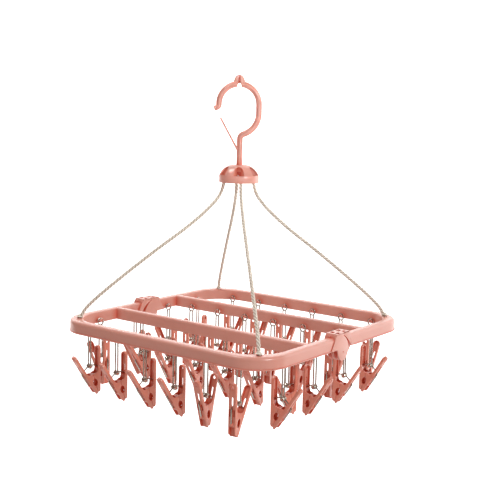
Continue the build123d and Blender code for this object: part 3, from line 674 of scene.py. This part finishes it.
# inside it: the boss round the stem, webs between the windows, and the floor
boss = revolve([
    (BORE, HUB_TOP - 11), (BOSS, HUB_TOP - 11), (BOSS, HUB_TOP - 0.6), (BORE, HUB_TOP - 0.3),
], 36)
inner_parts = [(boss, HERE)]
web = plate([WEB], -WEB_HALF, WEB_HALF, 0.2)
for index in range(WINDOWS):
    out = around(math.pi / 3, index)
    inner_parts.append((web, axes((0, 0, HUB_FOOT), out, out.cross(UP))))
rope_holes = [
    [(ROPE_PLACE * sx + x, ROPE_PLACE * sy + y) for x, y in arc((0, 0), ROPE_OPENING, 0, 340, 17)]
    for sx in (-1, 1) for sy in (-1, 1)
]
floor_outlines = [arc((0, 0), FLOOR_RADIUS, 0, 354, 59)] + rope_holes
floor_outlines.append(arc((0, 0), BORE + 0.05, 0, 345, 23))
hub_floor = plate(floor_outlines, FLOOR_LOW, FLOOR_HIGH, 0.2)
inner_parts.append((hub_floor, Matrix.Translation((0, 0, HUB_FOOT * MM))))
hub = link("hub_dome", shell, pink, "hub")
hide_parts("hub")
hub_inside = join("hub_inside_shape", inner_parts)
link("hub_inside", hub_inside, hub_inside_painted_light, "hub")


# ---------------------------------------------------------------- frame halves
RAIL_START = 22.0           # from the fold, inside the hinge housing
LIP_START = 34.5            # the lip begins beyond the housing
END_SLANT = 5.5             # a rail's end stands back by this at its foot
CORNER_STEPS = 24
BAR_ROUNDING = 3.6


def rail_section(lip):
    """Points of the channel's section: side it is measured from, distance in, height."""
    points = [
        ("outer", -LIP * lip, 0.0), ("outer", -LIP * lip, LIP_HEIGHT * 0.8),
        ("outer", 0.0, LIP_HEIGHT * 1.1),
    ]
    for x, z in arc((SHOULDER, RAIL_HEIGHT - SHOULDER), SHOULDER, 180, 90, 7):
        points.append(("outer", x, z))
    for x, z in arc((INNER_ROUNDING, RAIL_HEIGHT - INNER_ROUNDING), INNER_ROUNDING, 90, 180, 5):
        points.append(("inner", x, z))
    points += [
        ("inner", 0.0, 0.3), ("inner", 0.3, 0.0), ("inner", RAIL_WALL, 0.0),
        ("inner", RAIL_WALL, RAIL_HEIGHT - TOP_WALL),
    ]
    for x, z in arc((SHOULDER, RAIL_HEIGHT - SHOULDER), SHOULDER - 2.2, 90, 180, 4):
        points.append(("outer", x, z))
    return points + [("outer", RAIL_WALL, 0.0)]


def rail_stations(side):
    """Places along the U of one half: outer point, inner point, way in, lip."""
    outer_centre, inner_centre = HALF - OUTER_CORNER, INNER - INNER_CORNER
    half_u = []
    for y, lip in ((RAIL_START, 0), (LIP_START, 0), (LIP_START + 0.1, 1), (80.0, 1), (120.0, 1)):
        half_u.append(((HALF, y), (INNER, y), (-1, 0), lip))
    for step in range(CORNER_STEPS + 1):
        angle = math.pi / 2 * step / CORNER_STEPS
        c, s = math.cos(angle), math.sin(angle)
        outer = (outer_centre + OUTER_CORNER * c, outer_centre + OUTER_CORNER * s)
        inner = (inner_centre + INNER_CORNER * c, inner_centre + INNER_CORNER * s)
        half_u.append((outer, inner, (-c, -s), 1))
    half_u += [((x, HALF), (x, INNER), (0, -1), 1) for x in (90.0, 30.0)]
    stations = half_u + [
        ((-o[0], o[1]), (-i[0], i[1]), (-w[0], w[1]), lip) for o, i, w, lip in reversed(half_u)
    ]
    return [
        ((o[0], o[1] * side), (i[0], i[1] * side), (w[0], w[1] * side), lip)
        for o, i, w, lip in stations
    ]


def rail_mesh(side):
    """One half's U-shaped channel, with a rope's hole in each corner."""
    rings = []
    stations = rail_stations(side)
    for index, (outer, inner, way, lip) in enumerate(stations):
        slant = END_SLANT if index in (0, len(stations) - 1) else 0.0
        ring = []
        for start, distance, height in rail_section(lip):
            if start == "outer":
                x, y = outer[0] + way[0] * distance, outer[1] + way[1] * distance
            else:
                x, y = inner[0] - way[0] * distance, inner[1] - way[1] * distance
            ring.append((x, y + side * slant * (1 - height / RAIL_HEIGHT), RAIL_FOOT + height))
        rings.append(ring)
    holes = []
    reach, radius = ROPE_HOLE
    for side_x in (-1, 1):
        hole = cylinder(radius, FRAME_TOP - 6, FRAME_TOP + 4)
        hole.transform(Matrix.Translation((side_x * reach * MM, side * reach * MM, 0)))
        holes.append(hole)
    return cut(skin("rail", rings), holes)


def bar_mesh(side):
    """The straight bar beside the fold: a channel with a round top."""
    half, rounding = BAR_WIDTH / 2, BAR_ROUNDING
    top, ceiling = RAIL_HEIGHT - rounding, RAIL_HEIGHT - TOP_WALL
    outline = [(-half, 0.0)] + arc((-half + rounding, top), rounding, 180, 90, 6)
    outline += arc((half - rounding, top), rounding, 90, 0, 6)
    outline += [
        (half, 0.0), (half - RAIL_WALL, 0.0), (half - RAIL_WALL, RAIL_HEIGHT - 4.0),
        (half - rounding, ceiling), (-half + rounding, ceiling),
        (-half + RAIL_WALL, RAIL_HEIGHT - 4.0), (-half + RAIL_WALL, 0.0),
    ]
    rings = []
    for x in (-INNER - 1.5, -60.0, 60.0, INNER + 1.5):
        rings.append([(x, side * BAR_CENTRE + y, RAIL_FOOT + z) for y, z in outline])
    return skin("bar", rings)


# a peg with a cupped head, as (radius, height)
peg = revolve([
    (0, -0.6), (2.9, -0.6), (2.2, 0.6), (1.8, 1.4), (1.8, 7.2),
    (2.9, 7.3), (3.2, 7.6), (3.1, 8.5), (2.5, 9.0), (0, 9.0),
], 20)
peg = cut(peg, [cylinder(1.5, 7.8, 9.9)])
ROW = 6                     # pegs along a rail or a bar
RIBS = 7                    # along a long rail
RIB_PITCH = 0.82            # of the pegs' pitch
SIDE_RIBS = (62.0, 96.0)    # from the fold


def pegs(side):
    """The pegs on the inner faces of one half's rail and bar, and of its sides."""
    places = []
    for face_y in (side * INNER, side * (BAR_CENTRE - BAR_WIDTH / 2)):
        for index in range(ROW):
            x = (index - (ROW - 1) / 2) * PEG_PITCH
            places.append(axes((x, face_y, PEG_Z), (1, 0, 0), (0, -side, 0)))
    for end in (-1, 1):
        for y in SIDE_PEGS:
            places.append(axes((end * INNER, side * y, PEG_Z), (0, 1, 0), (-end, 0, 0)))
    return [(peg, place) for place in places]


def ribs(side):
    """Thin ribs across the underside of the rails."""
    parts = []
    half = RAIL_WIDTH / 2
    middle = HALF - half
    rib = plate([[
        (-half + 1.2, 4.0), (half - 1.2, 4.0), (half - 1.2, 17.0),
        (-half + 3.4, 17.0), (-half + 1.2, 14.5),
    ]], -0.7, 0.7, 0.15)
    for index in range(RIBS):
        x = (index - RIBS // 2) * PEG_PITCH * RIB_PITCH
        parts.append((rib, axes((x, side * middle, RAIL_FOOT), (0, -side, 0), (-side, 0, 0))))
    for end in (-1, 1):
        for y in SIDE_RIBS:
            place = axes((end * middle, side * y, RAIL_FOOT), (-end, 0, 0), (0, end, 0))
            parts.append((rib, place))
    return parts


# Hinge housings, drawn in a plane with Y towards the half's own side and Z up.
ARC_TOP = 1.2
FRONT_TOP, FRONT_FOOT = 19.0, 35.0  # the housing's slanted front
TOP_BUTT = 0.15             # the tops stand back by this from the fold
JOINT_GAP = (1.0, 4.4)      # added to the gap at its top, and as much more by its foot
JOINT_STEPS = 14
# the round joint line's arcs: centre, radius, first and last angle
KNUCKLE_ARC = ((-15.59, -27.25), 33.03, 59.45, 14.46)
SHOULDER_ARC = ((-24.45, -41.52), 50.83, 59.0, 26.9)
LAP = 0.2                   # half the gap between the lapped cheeks
HOUSING_WALL = 2.0
HOUSING_FLOOR = 6.0         # below the top
HOUSING_RIBS = (20.76, 25.56)
WINDOW_START, WINDOW_END = 5.4, 13.4
SWAP_YZ = Matrix(((1, 0, 0, 0), (0, 0, 1, 0), (0, -1, 0, 0), (0, 0, 0, 1)))


def joint_line(shoulder):
    """The round line between the halves, from the top to the rail's foot, on the far side."""
    points = arc(*(SHOULDER_ARC if shoulder else KNUCKLE_ARC), JOINT_STEPS)
    if not shoulder:
        return [(-y, z) for y, z in points]
    top, more = JOINT_GAP
    return [(-y - top - more * step / JOINT_STEPS, z) for step, (y, z) in enumerate(points)]


def cheek_outline():
    """The knuckle's cheek: housing, joint line and the tongue round the pivot."""
    points = [(FRONT_FOOT, -RAIL_HEIGHT), (FRONT_TOP, HINGE_RISE)]
    points += [(TOP_BUTT, HINGE_RISE), (TOP_BUTT, ARC_TOP)] + joint_line(False)
    points += [(-15.2, -25.0)] + arc((0, PIVOT_Z - FRAME_TOP), LOBE, 205, 335, 14)
    return points + [(17.0, -RAIL_HEIGHT)]


def shoulder_outline():
    """The other half's cheek, which stops above the joint line."""
    points = [(FRONT_FOOT, -RAIL_HEIGHT), (FRONT_TOP, HINGE_RISE)]
    points += [(TOP_BUTT, HINGE_RISE), (TOP_BUTT, ARC_TOP + 1.0)]
    return points + [(-y, z) for y, z in joint_line(True)]


def hinge(end, side, knuckle):
    """One half's housing at one end of the fold; the knuckle carries the lobe."""
    # the front half's knuckle is the outer one
    wall, front = HOUSING_WALL, side < 0
    if knuckle:
        low, high = (HINGE_MID + LAP, HINGE_OUTER) if front else (HINGE_INNER, HINGE_MID - LAP)
    else:
        low, high = (HINGE_INNER, HINGE_MID + LAP) if front else (HINGE_MID - LAP, HALF - BACK)
    outline = cheek_outline() if knuckle else shoulder_outline()
    place = axes((0, 0, FRAME_TOP), (0, side, 0), (side, 0, 0))
    near, far = (low, high) if side * end > 0 else (-high, -low)
    parts = [
        (plate([outline], near, near + wall, 0.3), place),
        (plate([outline], far - wall, far, 0.3), place),
    ]
    # top with its window, and the floor seen through it
    top = plate([
        box(TOP_BUTT, FRONT_TOP, -far, -near),
        box(WINDOW_START, WINDOW_END, wall - far, -near - wall),
    ], HINGE_RISE - wall + BACK, HINGE_RISE + BACK, 0.3)
    parts.append((top, place @ SWAP_YZ))
    floor_z = HINGE_RISE - HOUSING_FLOOR
    floor = box(1.2, FRONT_TOP - 2.0, floor_z, floor_z + 0.8)
    parts.append((plate([floor], near + 0.3, far - 0.3, 0.1), place))
    # the slanted front
    slope = math.atan2(HINGE_RISE + RAIL_HEIGHT, FRONT_FOOT - FRONT_TOP)
    thick = wall / math.sin(slope)
    band = [
        (FRONT_FOOT - BACK, BACK - RAIL_HEIGHT), (FRONT_TOP - BACK, HINGE_RISE),
        (FRONT_TOP - thick, HINGE_RISE), (FRONT_FOOT - thick, BACK - RAIL_HEIGHT),
    ]
    parts.append((plate([band], near + 0.1, far - 0.1, 0.3), place))
    # the wall behind the joint line
    if knuckle:
        line = [(y + BACK, z) for y, z in joint_line(False)]
        inner = [(y + 1.8, z - 1.2) for y, z in line]
    else:
        line = [(BACK - y, z) for y, z in joint_line(True)]
        inner = [(y + 1.6, z + 1.2) for y, z in line]
    parts.append((plate([line + inner[::-1]], near + 0.1, far - 0.1, 0.2), place))
    if not knuckle:
        # a thin wall set back in the gap to the other half's cheek
        gap = [(0.5 - y, z) for y, z in joint_line(False)]
        middle = (near + far) / 2
        parts.append((plate([line + gap[::-1]], middle - 0.5, middle + 0.5, 0.05), place))
    # slanted ribs inside the housing, seen from below
    for y in HOUSING_RIBS:
        foot = -RAIL_HEIGHT + 1.0
        rib = [(y, foot), (y + 1.4, foot), (y + 1.4 - 4.0, 3.0), (y - 4.0, 3.0)]
        parts.append((plate([rib], near + 0.5, far - 0.5, 0.15), place))
    return parts


def half_frame(side, label, body):
    """One folding half: rail, bar, pegs, ribs and its four hinge housings."""
    parts = [(rail_mesh(side), HERE), (bar_mesh(side), HERE)] + pegs(side) + ribs(side)
    for end in (-1, 1):
        parts += hinge(end, side, True) + hinge(end, side, False)
    return link(label, join(label + "_shape", parts), pink, body)


front = half_frame(-1, "front_half_rails", "front_half")
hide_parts("front_frame")
rear = half_frame(1, "rear_half_rails", "rear_half")
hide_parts("rear_frame")

PIN = 2.0
PIN_CLEAR = 0.3
for end, label in ((-1, "left"), (1, "right")):
    pin = revolve([
        (0, HINGE_INNER + PIN_CLEAR), (PIN, HINGE_INNER + PIN_CLEAR),
        (PIN, HINGE_OUTER - PIN_CLEAR), (1.5, HINGE_OUTER), (0, HINGE_OUTER),
    ], 20)
    place = axes((0, 0, PIVOT_Z), (0, 1, 0), (end, 0, 0))
    piece = link("hinge_pin_" + label, pin, pink, "front_half", matrix=place)
    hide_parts("hinge_pins")


# ---------------------------------------------------------------- clips
CLIP_WALL = 1.8
PARTING = 0.15              # a leg's inner face from the parting line
OVAL = (28.0, 6.3, 3.9)     # half of the oval hole: place, half length, half height
SKIN_TOP = 2.2              # thickness of a leg's back plate
PADDLE_START = 40.0
BOSS_PLACE = 18.0           # the boss at the wire's end, up the back
EYE_CLEAR = 0.6
# half of the slot for the arm, up a leg's back
SLOT_FOOT = [(47.0, 1.5), (46.0, 1.0), (37.0, 1.0)]


def on_back(distance):
    """Point of a leg's back: towards the tip, out from the parting line."""
    return (JAW - distance * math.cos(SPREAD), TIP_HALF + distance * math.sin(SPREAD))


def under_back(distance, depth):
    """The same, set in from the back by a depth."""
    x, y = on_back(distance)
    return (x - depth * math.sin(SPREAD), y - depth * math.cos(SPREAD))


def ellipse(centre, half_x, half_y, start=0, end=345, count=23):
    """Points of an ellipse or a part of it, angles in degrees."""
    points = []
    for index in range(count + 1):
        angle = math.radians(start + (end - start) * index / count)
        points.append((centre[0] + half_x * math.cos(angle), centre[1] + half_y * math.sin(angle)))
    return points


def jaw_walls(tip, half):
    """A leg's parts beside and between its cheeks, drawn from the side."""
    # deep side walls beside the jaw, with half of the oval hole, and the shelf of the notch
    cheek = [(tip, PARTING), (tip, 3.6), under_back(4.0, BACK), under_back(LEG * 0.62, BACK)]
    cheek += [under_back(LEG * 0.62, WALL_DEPTH), under_back(LEG * 0.50, WALL_DEPTH + 0.5)]
    cheek += [under_back(LEG * 0.455, 6.2), under_back(LEG * 0.44, 7.6)]
    cheek += [(12.6, 3.4), (13.4, 2.0), (13.6, PARTING), (21.6, PARTING)]
    cheek += ellipse((OVAL[0], PARTING), OVAL[1], OVAL[2], 180, 0, 14)[1:-1] + [(34.4, PARTING)]
    parts = [(plate([cheek], z, z + CLIP_WALL, 0.35), HERE) for z in (-half, half - CLIP_WALL)]
    # solid tip, set in below the pocket, and the web under the coil
    low = PARTING + BACK
    block = [(tip - BACK, low), (tip - BACK, 2.0), under_back(4.0, 3.4), under_back(14.5, 3.8)]
    block += [(tip - 12.0, low)]
    parts.append((plate([block], -half + 1.0, half - 1.0, 0.2), HERE))
    web = [(13.6 + BACK, low), (20.6, low), (20.6, 1.8), (13.6 + BACK, 2.6)]
    parts.append((plate([web], -half + 1.0, half - 1.0, 0.2), HERE))
    # the wall between the two side walls, behind the oval hole
    middle = [(21.0, low), (35.0, low), (35.0, 4.2), (29.0, 5.2), (21.0, 5.2)]
    parts.append((plate([middle], -0.5, 0.5, 0.1), HERE))
    return parts


def jaw_back(half, thumb_hole):
    """A leg's back plate with its openings and what stands on it; X runs up the leg."""
    end = LEG - half
    side = half - BACK
    outline = [(14.0, -side), (end - 4, -side)] + ellipse((end, 0), half, side, -85, 85, 14)
    outline += [(end - 4, side), (14.0, side)]
    slot = arc((56.5, 0), 1.5, -90, 90, 6) + SLOT_FOOT + [(x, -y) for x, y in SLOT_FOOT[::-1]]
    openings = [slot] + [box(29.0, 39.5, y - 1.1, y + 1.1) for y in (-3.3, 3.3)]
    eye = (end + EYE_CLEAR, 0)
    if thumb_hole:
        openings.append(ellipse(eye, 2.5, 2.5))
    plates = [plate([outline] + openings, -SKIN_TOP, 0.0, 0.4)]
    # a second wall under the openings
    inside = half - CLIP_WALL + 0.6
    plates.append(plate([box(15.0, 41.0, -inside, inside)], -4.4, -3.7, 0.1))
    # the rim round the thumb hole or its disc
    plates.append(plate([ellipse(eye, 3.8, 3.6), ellipse(eye, 2.8, 2.6)], -0.1, 0.45, 0.2))
    # wall round the paddle
    edge, hollow = half - BACK / 2, half - CLIP_WALL
    outer = [(PADDLE_START, -edge)] + ellipse((end, 0), edge, edge, -90, 90, 14)
    outer += [(PADDLE_START, edge)]
    inner = [(PADDLE_START, hollow)] + ellipse((end, 0), hollow, hollow, 90, -90, 14)
    inner += [(PADDLE_START, -hollow)]
    plates.append(plate([outer + inner], -WALL_DEPTH, -0.2, 0.3))
    return plates


def jaw_mesh(slanted):
    """One leg of a clip, with X down to the tips and Y away from the parting line."""
    half = CLIP_WIDTH / 2
    parts = jaw_walls(JAW if slanted else JAW - 2.0, half)
    lean_x, lean_y = math.cos(SPREAD), math.sin(SPREAD)
    place = axes((*on_back(0), 0), (-lean_x, lean_y, 0), (lean_y, lean_x, 0))
    parts += [(data, place) for data in jaw_back(half, not slanted)]
    # the boss that holds the end of the wire
    boss = revolve([(0, -2.0), (2.3, -2.0), (2.4, 0.6), (2.0, 1.6), (1.1, 2.2), (0, 2.4)], 16)
    parts.append((boss, place @ Matrix.Translation((BOSS_PLACE * MM, 0, 0))))
    return join("jaw_slanted" if slanted else "jaw_upright", parts)


upright_jaw = jaw_mesh(False)
slanted_jaw = jaw_mesh(True)

COIL_TURNS, COIL_STEPS = 3, 16
COIL_REACH = 2.9            # of one half of the coil, along its axis
WIRE_RESOLUTION = 2
ARM_GAP = 0.2               # arm over a leg's back


def spring_mesh():
    """A clip's wire: eye, two long wires and the coil's two halves.

    In its own frame X runs along the coil, Y away from the frame's middle and Z up.
    """
    circle = [(x, 0.0, z) for x, z in arc((0, EYE_OVER_COIL), EYE, 0, 348, 29)]
    parts = [(rod(circle, WIRE, WIRE_RESOLUTION, closed=True), HERE)]
    eye_foot = EYE_OVER_COIL - EYE
    for side in (-1, 1):
        line = [(side * 2.0, 0.0, eye_foot), (side * (WIRE_SPREAD - 0.2), 0.0, eye_foot - 0.8)]
        line += [
            (side * WIRE_SPREAD, 0.0, z) for z in (eye_foot - 3.0, 40.0, 20.0, COIL * 0.2)
        ]
        parts.append((rod(line, WIRE, WIRE_RESOLUTION), HERE))
    winding, steps = COIL - WIRE, COIL_TURNS * COIL_STEPS
    for side in (-1, 1):
        line = []
        for step in range(steps + 1):
            angle = 2 * math.pi * step / COIL_STEPS
            across = side * (WIRE_SPREAD + 0.4 - step / steps * COIL_REACH)
            line.append((across, winding * math.cos(angle), winding * math.sin(angle)))
        parts.append((rod(line, WIRE, WIRE_RESOLUTION), HERE))
    return join("spring_wire", parts)


def arm_mesh():
    """One arm, in a leg's frame: from the coil, out through the slot, down the back to the boss."""
    knee = under_back(LEG - 36.0, -WIRE - ARM_GAP)
    foot = under_back(19.5, -WIRE - ARM_GAP)
    return rod([
        (-1.5, 2.0, 0), (knee[0] - 5.0, knee[1] * 0.62, 0), (knee[0] - 1.2, knee[1] - 1.2, 0),
        (knee[0] + 1.4, knee[1] + 0.1, 0), (foot[0], foot[1], 0), (foot[0] + 0.8, foot[1] - 1.6, 0),
    ], WIRE * 0.95, WIRE_RESOLUTION)


spring_wire = spring_mesh()
arm_wire = arm_mesh()
coil_core = cylinder(COIL - 1.6 * WIRE, -WIRE_SPREAD - 0.5, WIRE_SPREAD + 0.5, 14)

# the parting line's angle from the vertical; half the legs' opening, where nothing else is said
USUAL_LEAN = 16.0
LEAN = {"front_rail_jaw_5": 1.0}


def dress_clip(joint):
    """The pieces of one clip, placed by the hinge of its opening jaw."""
    node, clips_body = joint["child"], joint["parent"]
    group = node.rsplit("_jaw_", 1)[0]
    coil_place = Vector(joint["pos_m"]) / MM
    across = Vector(joint["axis"]).normalized()
    outward = UP.cross(across)
    lean = math.radians(LEAN.get(node, USUAL_LEAN))
    down = outward * -math.sin(lean) - UP * math.cos(lean)
    inner = outward * -math.cos(lean) + UP * math.sin(lean)
    for label, data, body, away, replaced in (
        (node + "_upright", upright_jaw, clips_body, inner, group + "_fixed_jaws"),
        (node + "_slanted", slanted_jaw, node, -inner, node),
    ):
        place = axes(coil_place, down, down.cross(away))
        jaw = link(label, data, clip_pink, body, matrix=place)
        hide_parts(replaced)
        link(label + "_arm", arm_wire, wire_steel, body, matrix=place)
    wire_place, core_place = axes(coil_place, across, UP), axes(coil_place, UP, across)
    wire = link(
        node + "_wire", spring_wire, wire_steel, clips_body, matrix=wire_place
    )
    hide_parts(group + "_springs")
    link(node + "_core", coil_core, clip_pink, clips_body, matrix=core_place)


for joint in frame["joints"]:
    if "_jaw_" in joint["name"] and joint["name"].endswith("_hinge"):
        dress_clip(joint)

# ---------------------------------------------------------------- floor and light
# a pale floor below, and behind it a lit sheet that curves up to fill the view
FLOOR_Z = -1.02
SHEET_HALF = 3.0


def sheet(name, line, emission):
    """A wide sheet whose line runs away from the camera and up; lengths in metres."""
    data = bpy.data.meshes.new(name)
    data.from_pydata(
        [(x, y, z) for y, z in line for x in (-SHEET_HALF, SHEET_HALF)], [],
        [(2 * step, 2 * step + 1, 2 * step + 3, 2 * step + 2) for step in range(len(line) - 1)],
    )
    data.shade_smooth()
    piece = bpy.data.objects.new(name, data)
    piece.matrix_world = Matrix.Translation((0, 0, FLOOR_Z)) @ Matrix.Rotation(HEADING, 4, "Z")
    bpy.context.scene.collection.objects.link(piece)
    paper, nodes, links, shader = new_material(name + "_paper")
    shader.inputs["Base Color"].default_value = (0.8, 0.8, 0.8, 1)
    shader.inputs["Roughness"].default_value = 0.95
    shader.inputs["Emission Color"].default_value = (1, 1, 1, 1)
    shader.inputs["Emission Strength"].default_value = emission
    data.materials.append(paper)


FLOOR_FRONT, FLOOR_REAR = -2.4, 0.66
BEND_FOOT, BEND_SIZE, BEND_STEPS = 1.2, 0.8, 12
SHEET_TOP = 4.0
back_line = [(FLOOR_REAR, 0.0), (BEND_FOOT, 0.0)]
for step in range(1, BEND_STEPS + 1):
    angle = step * math.pi / (2 * BEND_STEPS)
    back_line.append(
        (BEND_FOOT + BEND_SIZE * math.sin(angle), BEND_SIZE * (1 - math.cos(angle)))
    )
back_line.append((BEND_FOOT + BEND_SIZE, SHEET_TOP))
sheet("floor", [(FLOOR_FRONT, 0.0), (FLOOR_REAR, 0.0)], 0.0)
sheet("backdrop", back_line, 1.0)

COOL = (0.97, 1.0, 1.0)
WARM = (1.0, 0.74, 0.64)

world = bpy.data.worlds.new("world")
bpy.context.scene.world = world
world.use_nodes = True
world.node_tree.nodes["Background"].inputs["Color"].default_value = (*WARM, 1)
world.node_tree.nodes["Background"].inputs["Strength"].default_value = 0.25


def lamp(name, place, target, size, power, colour=(1, 1, 1)):
    """A square area lamp aimed at a point; lengths in metres, power in watts."""
    light = bpy.data.lights.new(name, "AREA")
    light.shape = "SQUARE"
    light.size = size
    light.energy = power
    light.color = colour
    holder = bpy.data.objects.new(name, light)
    holder.location = place
    holder.rotation_euler = (Vector(target) - Vector(place)).to_track_quat("-Z", "Y").to_euler()
    bpy.context.scene.collection.objects.link(holder)
    return light


lamp("key", (2.3, -0.5, 0.8), (0, 0, -0.35), 0.55, 35, COOL)
lamp("side", (1.5, 2.5, 0.1), (0.1, 0, -0.4), 2.0, 26, COOL)
lamp("top", (-0.9, -0.5, 1.8), (0, 0, -0.4), 0.8, 24)
lamp("fill", (1.0, -2.6, 0.7), (0, 0, -0.4), 1.2, 2, WARM)
# a narrow lamp on the hook and hub alone
upper = lamp("upper", (1.55, -1.15, 0.0), (0, 0, 0.06), 0.3, 0.32)
upper.spread = math.radians(24)

bpy.context.scene.view_settings.view_transform = "Standard"
